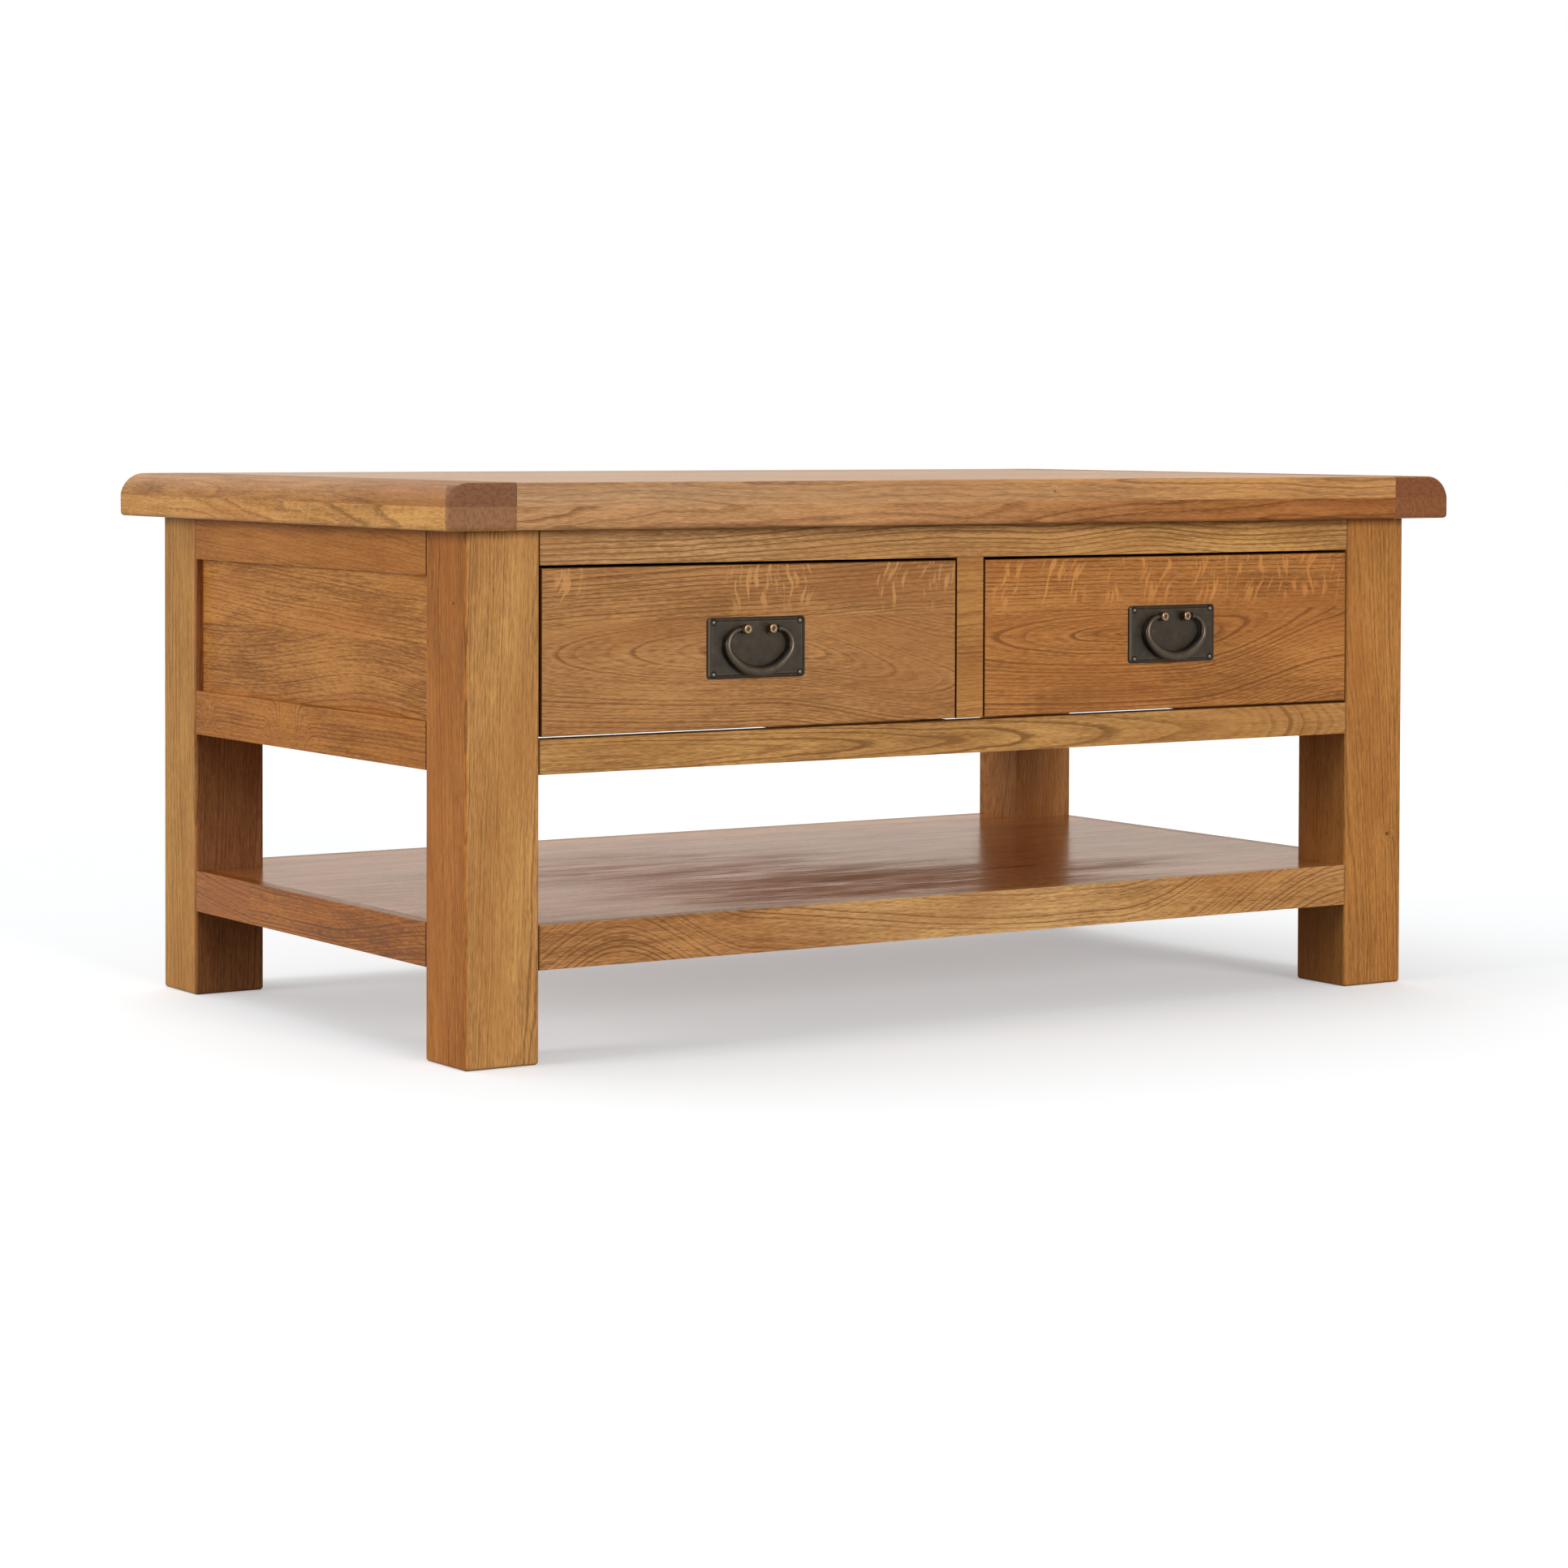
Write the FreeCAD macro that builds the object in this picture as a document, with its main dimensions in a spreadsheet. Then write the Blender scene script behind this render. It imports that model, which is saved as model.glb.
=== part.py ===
import FreeCAD, Part
import math
import os
import re

import Sketcher

# Oak coffee table with two drawers, in millimetres.
# The origin is on the floor under the middle of the table. X runs along the table to the right,
# the drawers face -Y, and Z is up.

SIZES = {
    "table_width": 1006,
    "table_depth": 600,
    "table_height": 450,
    # Top: an upper layer of boards, thickened along the edge by strips underneath
    "top_layer": 18.5,
    "edge_layer": 18.5,
    "end_round_reach": 21.7,
    "end_board_width": 62,
    "edge_strip_width": 60,
    "edge_round": 3.5,
    "tongue_thickness": 7,
    "tongue_length": 10,
    "tongue_stop": 25,
    # Legs
    "leg_size": 65,
    "overhang_end": 31,
    "overhang_front": 24.5,
    "leg_round": 3,
    # Rails, tenons and panels of the ends and the back
    "rail_setback": 0.5,
    "rail_thickness": 22,
    "case_top_rail_height": 36,
    "case_bottom_rail_base": 226,
    "case_bottom_rail_height": 37.5,
    "panel_thickness": 10,
    "panel_recess": 7.5,
    "panel_tongue": 8,
    "tenon_length": 22,
    "tenon_shoulder": 5,
    # Drawer openings at the front
    "front_rail_thickness": 18,
    "front_tenon_thickness": 8,
    "front_top_rail_height": 27.5,
    "front_bottom_rail_base": 224,
    "front_bottom_rail_height": 27,
    "muntin_width": 26.5,
    "muntin_gap": 2,
    "muntin_tenon_width": 14,
    "muntin_tenon_length": 12,
    # Centre partition, bearer and runners
    "partition_thickness": 18,
    "partition_tongue": 6,
    "partition_relief": 60,
    "bearer_width": 26,
    "bearer_height": 21.5,
    "bearer_drop": 3,
    "runner_height": 12,
    "runner_above_middle": 0.3,
    "runner_reach": 9,
    "runner_web": 12,
    "runner_front_inset": 36,
    "runner_back_gap": 2,
    # Shelf
    "shelf_height": 108,
    "shelf_board": 17.5,
    "shelf_rail_height": 35,
    "shelf_rebate": 10,
    "shelf_tenon_thickness": 10,
    # Drawers
    "drawer_gap_side": 1.6,
    "drawer_gap_top": 2.6,
    "drawer_gap_bottom": 2.2,
    "drawer_front_thickness": 20,
    "drawer_front_round": 1.2,
    "drawer_front_lap": 6,
    "drawer_side_thickness": 15,
    "drawer_side_lift": 6,
    "drawer_side_drop": 18.7,
    "drawer_back_gap": 14,
    "drawer_back_thickness": 12,
    "drawer_back_inset": 2,
    "drawer_back_drop": 4,
    "drawer_back_dado": 5,
    "drawer_bottom_lift": 10,
    "drawer_bottom_thickness": 6,
    "drawer_bottom_groove": 6,
    "dovetail_pitch": 35,
    "dovetail_neck": 20,
    "dovetail_flare": 2,
    "runner_clearance_side": 0.8,
    "runner_clearance_below": 0.6,
    "runner_clearance_front": 0.2,
    # Handles
    "plate_width": 92,
    "plate_height": 48.5,
    "plate_thickness": 2.2,
    "plate_corner_round": 3,
    "plate_bevel_depth": 0.9,
    "plate_bevel_width": 3,
    "plate_drop": 0.9,
    "pin_spacing_x": 81.3,
    "pin_spacing_z": 41.2,
    "pin_shank": 1.6,
    "pin_shank_length": 12,
    "pin_head": 4.2,
    "pin_head_height": 1.2,
    "pin_clearance": 0.1,
    "post_spacing": 24,
    "post_rise": 15,
    "post_stud": 4,
    "post_base": 9,
    "post_base_height": 0.9,
    "post_head": 8.2,
    "post_reach": 8.6,
    "post_head_round": 1.4,
    "post_dimple": 3.2,
    "post_dimple_depth": 0.8,
    "hole_clearance": 0.4,
    "nut_across_flats": 7,
    "nut_thickness": 3.2,
    "nut_clearance": 0.1,
    "bail_width": 66,
    "bail_drop": 34,
    "bail_end": 3.6,
    "bail_shoulder": 5.6,
    "bail_middle": 8.8,
    "bail_standoff": 7,
    "pivot_pin": 3,
    "pivot_depth": 2,
    "pivot_clearance": 0.1,
    "collar_diameter": 5.6,
    "collar_length": 1.3,
    "collar_clearance": 0.3,
    # Blocks and screws that hold the top
    "block_size": 20,
    "block_length": 50,
    "block_place_x": 210,
    "block_place_y": 120,
    "screw_inset": 6,
    "screw_shank": 4,
    "screw_length": 32,
    "screw_head": 8,
    "screw_head_height": 2.4,
    "screw_clearance": 0.4,
}

POSITIONS = {
    "half_width": "table_width / 2",
    "half_depth": "table_depth / 2",
    "layer_seam": "table_height - top_layer",
    "top_underside": "layer_seam - edge_layer",
    "board_end": "half_width - end_board_width",
    "leg_out_x": "half_width - overhang_end",
    "leg_in_x": "leg_out_x - leg_size",
    "leg_out_y": "half_depth - overhang_front",
    "leg_in_y": "leg_out_y - leg_size",
    "rail_out_x": "leg_out_x - rail_setback",
    "rail_in_x": "rail_out_x - rail_thickness",
    "rail_out_y": "leg_out_y - rail_setback",
    "rail_in_y": "rail_out_y - rail_thickness",
    "panel_out_x": "leg_out_x - panel_recess",
    "panel_in_x": "panel_out_x - panel_thickness",
    "panel_out_y": "leg_out_y - panel_recess",
    "panel_in_y": "panel_out_y - panel_thickness",
    "case_top_rail_base": "top_underside - case_top_rail_height",
    "case_bottom_rail_top": "case_bottom_rail_base + case_bottom_rail_height",
    "front_rail_in_y": "rail_out_y - front_rail_thickness",
    "front_rail_mid_y": "rail_out_y - front_rail_thickness / 2",
    "front_top_rail_base": "top_underside - front_top_rail_height",
    "front_bottom_rail_top": "front_bottom_rail_base + front_bottom_rail_height",
    "muntin_base": "front_bottom_rail_top + muntin_gap",
    "bearer_top": "front_bottom_rail_top - bearer_drop",
    "bearer_base": "bearer_top - bearer_height",
    "runner_base": "(drawer_side_base + drawer_side_top - runner_height) / 2 + runner_above_middle",
    "runner_top": "runner_base + runner_height",
    "runner_front": "leg_out_y - runner_front_inset",
    "runner_back": "panel_in_y - runner_back_gap",
    "shelf_underside": "shelf_height - shelf_board",
    "shelf_rail_base": "shelf_height - shelf_rail_height",
    "shelf_board_x": "rail_in_x + shelf_rebate",
    "shelf_board_y": "rail_in_y + shelf_rebate",
    "drawer_in_x": "muntin_width / 2 + drawer_gap_side",
    "drawer_out_x": "leg_in_x - drawer_gap_side",
    "drawer_mid_x": "(drawer_in_x + drawer_out_x) / 2",
    "drawer_front_base": "front_bottom_rail_top + drawer_gap_bottom",
    "drawer_front_top": "front_top_rail_base - drawer_gap_top",
    "drawer_face_y": "-leg_out_y",
    "drawer_inside_y": "drawer_face_y + drawer_front_thickness",
    "drawer_tail_y": "drawer_face_y + drawer_front_lap",
    "drawer_end_y": "panel_in_y - drawer_back_gap",
    "drawer_back_far_y": "drawer_end_y - drawer_back_inset",
    "drawer_back_near_y": "drawer_back_far_y - drawer_back_thickness",
    "drawer_side_base": "drawer_front_base + drawer_side_lift",
    "drawer_side_top": "drawer_front_top - drawer_side_drop",
    "drawer_side_height": "drawer_side_top - drawer_side_base",
    "drawer_bottom_base": "drawer_side_base + drawer_bottom_lift",
    "drawer_bottom_top": "drawer_bottom_base + drawer_bottom_thickness",
    "plate_mid_z": "(drawer_front_base + drawer_front_top) / 2 - plate_drop",
    "plate_face_y": "drawer_face_y - plate_thickness",
    "post_mid_z": "plate_mid_z + post_rise",
    "pivot_y": "drawer_face_y - bail_standoff",
    "collar_start": "post_spacing / 2 + post_head / 2 + collar_clearance",
}

TOP_PLANKS = 4
SHELF_BOARDS = 3
SIDES = {"left": -1, "right": 1}
ENDS = {"front": -1, "back": 1}

doc = FreeCAD.newDocument("coffee_table")
sheet = doc.addObject("Spreadsheet::Sheet", "sizes")
parts = []
tenons = {"front": [], "back": [], "left": [], "right": []}
word = re.compile(r"[a-z][a-z_]*")
up = FreeCAD.Vector(0, 0, 1)
rightward = FreeCAD.Vector(1, 0, 0)
inward = FreeCAD.Vector(0, 1, 0)
outward = FreeCAD.Vector(0, -1, 0)


def fill_sheet():
    cells = {name: str(size) for name, size in SIZES.items()}
    cells.update({name: "=" + formula for name, formula in POSITIONS.items()})
    for row, (name, text) in enumerate(cells.items(), start=1):
        sheet.set(f"A{row}", name.replace("_", " "))
        sheet.set(f"B{row}", text)
        sheet.setAlias(f"B{row}", name)
    doc.recompute()


def in_sheet(formula):
    return word.sub(lambda found: "sizes." + found.group(), formula)


def bind(item, prop, formula):
    item.setExpression(prop, in_sheet(formula))


def value(formula):
    return float(sheet.evalExpression(in_sheet(formula)))


def side_of(sign, span):
    """The span as it is on the positive side, or mirrored to the negative side."""
    low, high = span
    return span if sign > 0 else (f"-({high})", f"-({low})")


def both_ways(reach):
    return (f"-({reach})", reach)


def block(name, x, y, z):
    """A box whose x, y and z are (low, high) formulas."""
    box = doc.addObject("Part::Box", name)
    for prop, axis, (low, high) in zip(("Length", "Width", "Height"), "xyz", (x, y, z)):
        bind(box, prop, f"({high}) - ({low})")
        bind(box, f"Placement.Base.{axis}", low)
    return box


def rod(name, diameter, length, x, y, z, axis):
    """A cylinder that starts at x, y, z and runs along one of the axes."""
    cylinder = doc.addObject("Part::Cylinder", name)
    bind(cylinder, "Radius", f"({diameter}) / 2")
    bind(cylinder, "Height", length)
    turned = FreeCAD.Rotation(up, axis)
    cylinder.Placement = FreeCAD.Placement(FreeCAD.Vector(), turned)
    for letter, place in zip("xyz", (x, y, z)):
        bind(cylinder, f"Placement.Base.{letter}", place)
    return cylinder


def fused(name, solids):
    fuse = doc.addObject("Part::MultiFuse", name)
    fuse.Shapes = solids
    fuse.Refine = True
    return fuse


def cut(name, base, tools):
    piece = doc.addObject("Part::Cut", name)
    piece.Base = base
    piece.Tool = tools[0] if len(tools) == 1 else fused(name + "_tools", tools)
    return piece


def group(name, solids):
    compound = doc.addObject("Part::Compound", name)
    compound.Links = solids
    return compound


def mirrored(name, source, normal, place):
    copy = doc.addObject("Part::Mirroring", name)
    copy.Source = source
    copy.Normal = normal
    for letter, formula in place.items():
        bind(copy, f"Base.{letter}", formula)
    return copy


def lies_at(edge, **place):
    """True for an edge that lies at the given x, y or z from end to end."""
    box = edge.BoundBox
    for letter, where in place.items():
        low = getattr(box, letter.upper() + "Min")
        high = getattr(box, letter.upper() + "Max")
        if abs(low - where) > 1e-4 or abs(high - where) > 1e-4:
            return False
    return True


def eased(name, base, size, places):
    """Rounds the edges of base that lie at one of the places."""
    doc.recompute()
    amount = value(size)
    wanted = [{letter: value(formula) for letter, formula in place.items()} for place in places]
    numbers = [i for i, edge in enumerate(base.Shape.Edges, start=1)
               if any(lies_at(edge, **place) for place in wanted)]
    feature = doc.addObject("Part::Fillet", name)
    feature.Base = base
    feature.Edges = [(number, amount, amount) for number in numbers]
    return feature


def origin_plane(body, role):
    return next(item for item in body.Origin.OriginFeatures if item.Role == role)


def new_sketch(body, name, role):
    sketch = body.newObject("Sketcher::SketchObject", name)
    sketch.AttachmentSupport = [(origin_plane(body, role), "")]
    sketch.MapMode = "FlatFace"
    return sketch


def fix_point(sketch, line, end, across, upward):
    """Ties one end of a sketch line to formulas for its two coordinates."""
    for kind, axis, formula in (("DistanceX", -2, across), ("DistanceY", -1, upward)):
        if formula == "0":
            sketch.addConstraint(Sketcher.Constraint("PointOnObject", line, end, axis))
            continue
        number = sketch.addConstraint(Sketcher.Constraint(kind, -1, 1, line, end, value(formula)))
        bind(sketch, f"Constraints[{number}]", formula)


def outline(body, name, role, corners):
    """A closed sketch of straight lines through corners given as (across, up) formulas."""
    sketch = new_sketch(body, name, role)
    points = [FreeCAD.Vector(value(across), value(upward), 0) for across, upward in corners]
    for start, end in zip(points, points[1:] + points[:1]):
        sketch.addGeometry(Part.LineSegment(start, end))
    for line, (across, upward) in enumerate(corners):
        before = (line - 1) % len(corners)
        sketch.addConstraint(Sketcher.Constraint("Coincident", before, 2, line, 1))
        fix_point(sketch, line, 1, across, upward)
    return sketch


def pad(body, sketch, length, symmetric=False):
    feature = body.newObject("PartDesign::Pad", body.Name + "_pad")
    feature.Profile = sketch
    bind(feature, "Length", length)
    if symmetric:
        feature.SideType = "Symmetric"
    return feature


def revolve(body, sketch):
    feature = body.newObject("PartDesign::Revolution", body.Name + "_turned")
    feature.Profile = sketch
    feature.ReferenceAxis = (sketch, ["V_Axis"])
    feature.Angle = 360
    return feature


def dress(body, kind, size, places):
    """A fillet or chamfer feature on the body's edges that lie at one of the places."""
    doc.recompute()
    base = body.Tip
    wanted = [{letter: value(formula) for letter, formula in place.items()} for place in places]
    edges = [f"Edge{i}" for i, edge in enumerate(base.Shape.Edges, start=1)
             if any(lies_at(edge, **place) for place in wanted)]
    feature = body.newObject(kind, body.Name + "_dressed")
    feature.Base = (base, edges)
    bind(feature, "Radius" if kind.endswith("Fillet") else "Size", size)
    return feature


def done(piece, label):
    piece.Label = label
    parts.append(piece)
    return piece


fill_sheet()

# Rails of the ends and the back, with tenons that line up with the panel grooves.

case_rails = {"top": ("case_top_rail_base", "top_underside"),
              "bottom": ("case_bottom_rail_base", "case_bottom_rail_top")}
case_tenons = {"top": ("case_top_rail_base + panel_tongue", "top_underside - tenon_shoulder"),
               "bottom": ("case_bottom_rail_base + tenon_shoulder", "case_bottom_rail_top - panel_tongue")}
panel_height = ("case_bottom_rail_top - panel_tongue", "case_top_rail_base + panel_tongue")


def tenoned(label, place, board, tenon):
    """A rail whose tenon runs through it from end to end and is kept for the legs' mortises."""
    body = block(label + "_board", *board)
    tongue = block(label + "_tenon", *tenon)
    tenons[place].append(tongue)
    return fused(label + "_blank", [body, tongue])


def case_rail(label, place, level, x, y, tenon_x, tenon_y, panel):
    rail = tenoned(label, place, (x, y, case_rails[level]), (tenon_x, tenon_y, case_tenons[level]))
    return cut(label, rail, [panel])


def end_frame(side, sign):
    rail_x = side_of(sign, ("rail_in_x", "rail_out_x"))
    panel_x = side_of(sign, ("panel_in_x", "panel_out_x"))
    panel_y = both_ways("leg_in_y + panel_tongue")
    panel = done(block(side + "_panel", panel_x, panel_y, panel_height), side + "_panel")
    tenons[side].append(panel)
    rail_y = both_ways("leg_in_y")
    tenon_y = both_ways("leg_in_y + tenon_length")
    return {level: case_rail(f"{side}_{level}_rail_blank", side, level,
                             rail_x, rail_y, panel_x, tenon_y, panel)
            for level in case_rails}


def back_frame():
    rail_y = ("rail_in_y", "rail_out_y")
    panel_y = ("panel_in_y", "panel_out_y")
    panel_x = both_ways("leg_in_x + panel_tongue")
    panel = done(block("back_panel", panel_x, panel_y, panel_height), "back_panel")
    tenons["back"].append(panel)
    rail_x = both_ways("leg_in_x")
    tenon_x = both_ways("leg_in_x + tenon_length")
    return {level: case_rail(f"back_{level}_rail_blank", "back", level,
                             rail_x, rail_y, tenon_x, panel_y, panel)
            for level in case_rails}


for side_name, side_sign in SIDES.items():
    for rail_level, rail in end_frame(side_name, side_sign).items():
        done(rail, f"{side_name}_{rail_level}_rail")
back_rails = back_frame()
done(back_rails["top"], "back_top_rail")

# Front: two rails between the legs, and the muntin that hangs from the upper one.

front_rail_y = ("-rail_out_y", "-front_rail_in_y")
front_tenon_y = ("-front_rail_mid_y - front_tenon_thickness / 2",
                 "-front_rail_mid_y + front_tenon_thickness / 2")


def front_rail(label, base, top):
    tenon_z = (f"{base} + tenon_shoulder", f"{top} - tenon_shoulder")
    return tenoned(label, "front", (both_ways("leg_in_x"), front_rail_y, (base, top)),
                   (both_ways("leg_in_x + tenon_length"), front_tenon_y, tenon_z))


def muntin():
    body = block("muntin_board", both_ways("muntin_width / 2"), front_rail_y,
                 ("muntin_base", "front_top_rail_base"))
    tenon = block("muntin_tenon", both_ways("muntin_tenon_width / 2"), front_tenon_y,
                  ("front_top_rail_base", "front_top_rail_base + muntin_tenon_length"))
    return fused("muntin_blank", [body, tenon])


front_top_blank = front_rail("front_top_rail_blank", "front_top_rail_base", "top_underside")
front_bottom_blank = front_rail("front_bottom_rail_blank",
                                "front_bottom_rail_base", "front_bottom_rail_top")
muntin_blank = muntin()
done(cut("front_top_rail", front_top_blank, [muntin_blank]), "front_top_rail")

# Centre bearer: tenoned into the front and back bottom rails, it carries the partition.

bearer_body = block("bearer_board", both_ways("bearer_width / 2"), ("-front_rail_in_y", "rail_in_y"),
                    ("bearer_base", "bearer_top"))
bearer_tenon = block("bearer_tenon", both_ways("bearer_width / 2 - tenon_shoulder"),
                     ("-front_rail_mid_y", "panel_in_y"),
                     ("bearer_base + tenon_shoulder", "bearer_top - tenon_shoulder"))
bearer = done(fused("centre_bearer", [bearer_body, bearer_tenon]), "centre_bearer")
done(cut("front_bottom_rail", front_bottom_blank, [bearer]), "front_bottom_rail")
done(cut("back_bottom_rail", back_rails["bottom"], [bearer]), "back_bottom_rail")

# Centre partition: one board that stands on the bearer, with its front edge let into the muntin.
# It stops below the front rail's level at the front and is relieved there above the bearer.

partition_body = doc.addObject("PartDesign::Body", "partition_body")
partition_corners = [
    ("-front_rail_in_y - partition_tongue", "muntin_base"),
    ("-front_rail_in_y + partition_relief", "muntin_base"),
    ("-front_rail_in_y + partition_relief", "bearer_top"),
    ("rail_in_y", "bearer_top"),
    ("rail_in_y", "top_underside"),
    ("-front_rail_in_y", "top_underside"),
    ("-front_rail_in_y", "front_top_rail_base"),
    ("-front_rail_in_y - partition_tongue", "front_top_rail_base"),
]
partition_sketch = outline(partition_body, "partition_outline", "YZ_Plane", partition_corners)
pad(partition_body, partition_sketch, "partition_thickness", symmetric=True)
partition = done(partition_body, "centre_partition")

done(cut("front_muntin", muntin_blank, [partition]), "front_muntin")

# Runners: bars that bridge the legs at the ends, and strips on both faces of the partition.

runner_y = ("-runner_front", "runner_back")
runner_z = ("runner_base", "runner_top")
runner_in_x = "drawer_in_x + runner_reach - drawer_gap_side"


def outer_runner(side, sign):
    label = f"{side}_runner"
    bar_x = side_of(sign, ("leg_in_x - runner_reach", "leg_in_x"))
    web_x = side_of(sign, ("leg_in_x", "leg_in_x + runner_web"))
    bar = block(label + "_bar", bar_x, runner_y, runner_z)
    web = block(label + "_web", web_x, both_ways("leg_in_y"), runner_z)
    return done(fused(label, [bar, web]), label)


def inner_runner(side, sign):
    bar_x = side_of(sign, ("partition_thickness / 2", runner_in_x))
    return block(f"runner_{side}_inner", bar_x, runner_y, runner_z)


for side_name, side_sign in SIDES.items():
    outer_runner(side_name, side_sign)
centre_runners = [inner_runner(side, sign) for side, sign in SIDES.items()]
done(group("centre_runners", centre_runners), "centre_runners")

# Shelf: rails flush with the legs, rebated for boards that are notched round the legs.

shelf_rail_z = ("shelf_rail_base", "shelf_height")
shelf_tenon_z = ("shelf_rail_base + tenon_shoulder", "shelf_height - tenon_shoulder")


def shelf_board(number):
    label = f"shelf_board_{number + 1}"
    width = f"2 * shelf_board_y / {SHELF_BOARDS}"
    y = (f"-shelf_board_y + {number} * {width}", f"-shelf_board_y + {number + 1} * {width}")
    board = block(label + "_blank", both_ways("shelf_board_x"), y, ("shelf_underside", "shelf_height"))
    if 0 < number < SHELF_BOARDS - 1:
        return done(board, label)
    sign = -1 if number == 0 else 1
    notches = [block(f"{label}_notch_{side}", side_of(turn, ("leg_in_x", "leg_out_x")),
                     side_of(sign, ("leg_in_y", "leg_out_y")), ("shelf_underside", "shelf_height"))
               for side, turn in SIDES.items()]
    return done(cut(label, board, notches), label)


def long_shelf_rail(end, sign, rebate):
    label = f"shelf_rail_{end}"
    middle = "rail_out_y - rail_thickness / 2"
    tenon_y = side_of(sign, (f"{middle} - shelf_tenon_thickness / 2",
                             f"{middle} + shelf_tenon_thickness / 2"))
    rail_y = side_of(sign, ("rail_in_y", "rail_out_y"))
    rail = tenoned(label, end, (both_ways("leg_in_x"), rail_y, shelf_rail_z),
                   (both_ways("leg_in_x + tenon_length"), tenon_y, shelf_tenon_z))
    return done(cut(label, rail, [rebate]), label)


def short_shelf_rail(side, sign, rebate):
    label = f"shelf_rail_{side}"
    middle = "rail_out_x - rail_thickness / 2"
    tenon_x = side_of(sign, (f"{middle} - shelf_tenon_thickness / 2",
                             f"{middle} + shelf_tenon_thickness / 2"))
    rail_x = side_of(sign, ("rail_in_x", "rail_out_x"))
    rail = tenoned(label, side, (rail_x, both_ways("leg_in_y"), shelf_rail_z),
                   (tenon_x, both_ways("leg_in_y + tenon_length"), shelf_tenon_z))
    return done(cut(label, rail, [rebate]), label)


for shelf_number in range(SHELF_BOARDS):
    shelf_board(shelf_number)
shelf_room = block("shelf_room", both_ways("shelf_board_x"), both_ways("shelf_board_y"),
                   ("shelf_underside", "shelf_height"))
for end_name, end_sign in ENDS.items():
    long_shelf_rail(end_name, end_sign, shelf_room)
for side_name, side_sign in SIDES.items():
    short_shelf_rail(side_name, side_sign, shelf_room)

# Legs: square posts with rounded edges and feet, mortised for every rail and panel they hold.


def leg(end, end_sign, side, side_sign):
    label = f"leg_{end}_{side}"
    x = side_of(side_sign, ("leg_in_x", "leg_out_x"))
    y = side_of(end_sign, ("leg_in_y", "leg_out_y"))
    post = block(label + "_post", x, y, ("0", "top_underside"))
    corners = [{"x": across, "y": along} for across in x for along in y]
    post = eased(label + "_eased", post, "leg_round", corners + [{"z": "0"}])
    return done(cut(label, post, tenons[end] + tenons[side]), label)


for end_name, end_sign in ENDS.items():
    for side_name, side_sign in SIDES.items():
        leg(end_name, end_sign, side_name, side_sign)

# Top, lower layer: strips that double the edge, with the end strips running the full depth.

strip_z = ("top_underside", "layer_seam")


def long_strip(end, sign):
    y = side_of(sign, ("half_depth - edge_strip_width", "half_depth"))
    strip = block(f"top_strip_{end}_board", both_ways("board_end"), y, strip_z)
    rim = {"y": f"{sign} * half_depth", "z": "top_underside"}
    return eased(f"top_strip_{end}_eased", strip, "edge_round", [rim])


def short_strip(side, sign):
    strip = block(f"top_strip_{side}_board", side_of(sign, ("board_end", "half_width")),
                  both_ways("half_depth"), strip_z)
    rim_x = f"{sign} * half_width"
    rims = [{"x": rim_x, "z": "top_underside"}]
    for end_sign in ENDS.values():
        rims.append({"y": f"{end_sign} * half_depth", "z": "top_underside"})
        rims.append({"x": rim_x, "y": f"{end_sign} * half_depth"})
    return eased(f"top_strip_{side}_eased", strip, "edge_round", rims)


strip_blanks = {end: long_strip(end, sign) for end, sign in ENDS.items()}
strip_blanks.update({side: short_strip(side, sign) for side, sign in SIDES.items()})

# Top, upper layer: edge-jointed planks tongued into an end board with a rounded outer edge.

tongue_z = ("table_height - top_layer / 2 - tongue_thickness / 2",
            "table_height - top_layer / 2 + tongue_thickness / 2")


def top_plank(number):
    label = f"top_plank_{number + 1}"
    width = f"table_depth / {TOP_PLANKS}"
    low = f"-half_depth + {number} * {width}"
    high = f"-half_depth + {number + 1} * {width}"
    board = block(label + "_board", both_ways("board_end"), (low, high), ("layer_seam", "table_height"))
    if number == 0:
        board = eased(label + "_eased", board, "edge_round", [{"y": low, "z": "table_height"}])
        low += " + tongue_stop"
    if number == TOP_PLANKS - 1:
        board = eased(label + "_eased", board, "edge_round", [{"y": high, "z": "table_height"}])
        high += " - tongue_stop"
    tongue = block(label + "_tongue", both_ways("board_end + tongue_length"), (low, high), tongue_z)
    return done(fused(label, [board, tongue]), label)


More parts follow.
